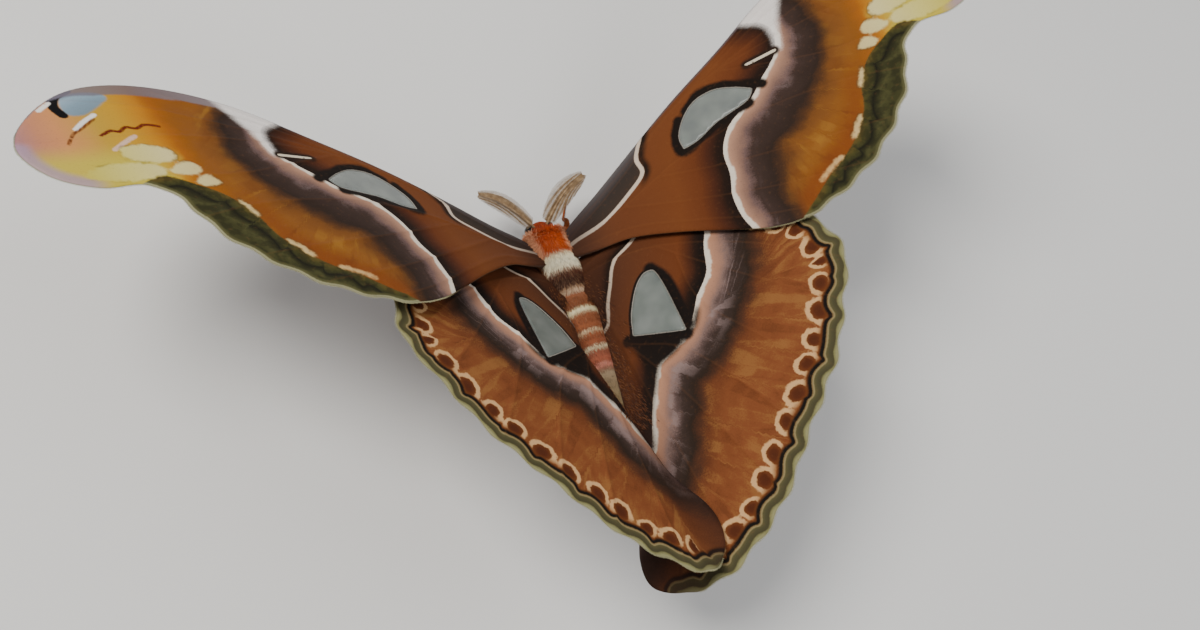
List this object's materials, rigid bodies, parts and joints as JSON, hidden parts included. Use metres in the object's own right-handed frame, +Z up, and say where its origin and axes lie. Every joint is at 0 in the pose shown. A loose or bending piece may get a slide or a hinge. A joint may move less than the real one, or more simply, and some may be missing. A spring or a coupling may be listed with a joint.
{
  "type": "atlas moth",
  "caption": "Life-size still model of an atlas moth standing with its patterned wings raised in a wide V.",
  "frame": {"origin": "centre of the whole box at floor level, under the feet", "axes": "+Z up, head towards -Y, the moth's left wings towards +X"},
  "size_m": [0.224, 0.144, 0.0812],
  "materials": {
    "forewing_scales": "matt rust-brown wing scales with cream lines, olive margin and clear panes",
    "hindwing_scales": "matt rust-brown wing scales with cream lines, looped margin and clear panes",
    "thorax_fur": "dense orange-red fur with a cream band",
    "abdomen_fur": "short reddish-brown fur with pale bands",
    "eye_cornea": "dark glossy facetted eye",
    "antenna_comb": "tan feathered feeler",
    "leg_fur": "rust-brown furred leg"
  },
  "bodies": {
    "root": {"head": "thorax_fur", "eye_left": "eye_cornea", "eye_right": "eye_cornea", "antenna_left": "antenna_comb", "antenna_right": "antenna_comb", "thorax": "thorax_fur", "abdomen": "abdomen_fur", "forewing_left": "forewing_scales", "forewing_right": "forewing_scales", "hindwing_left": "hindwing_scales", "hindwing_right": "hindwing_scales", "leg_front_left": "leg_fur", "leg_front_right": "leg_fur", "leg_middle_left": "leg_fur", "leg_middle_right": "leg_fur", "leg_hind_left": "leg_fur", "leg_hind_right": "leg_fur"}
  },
  "joints": []
}
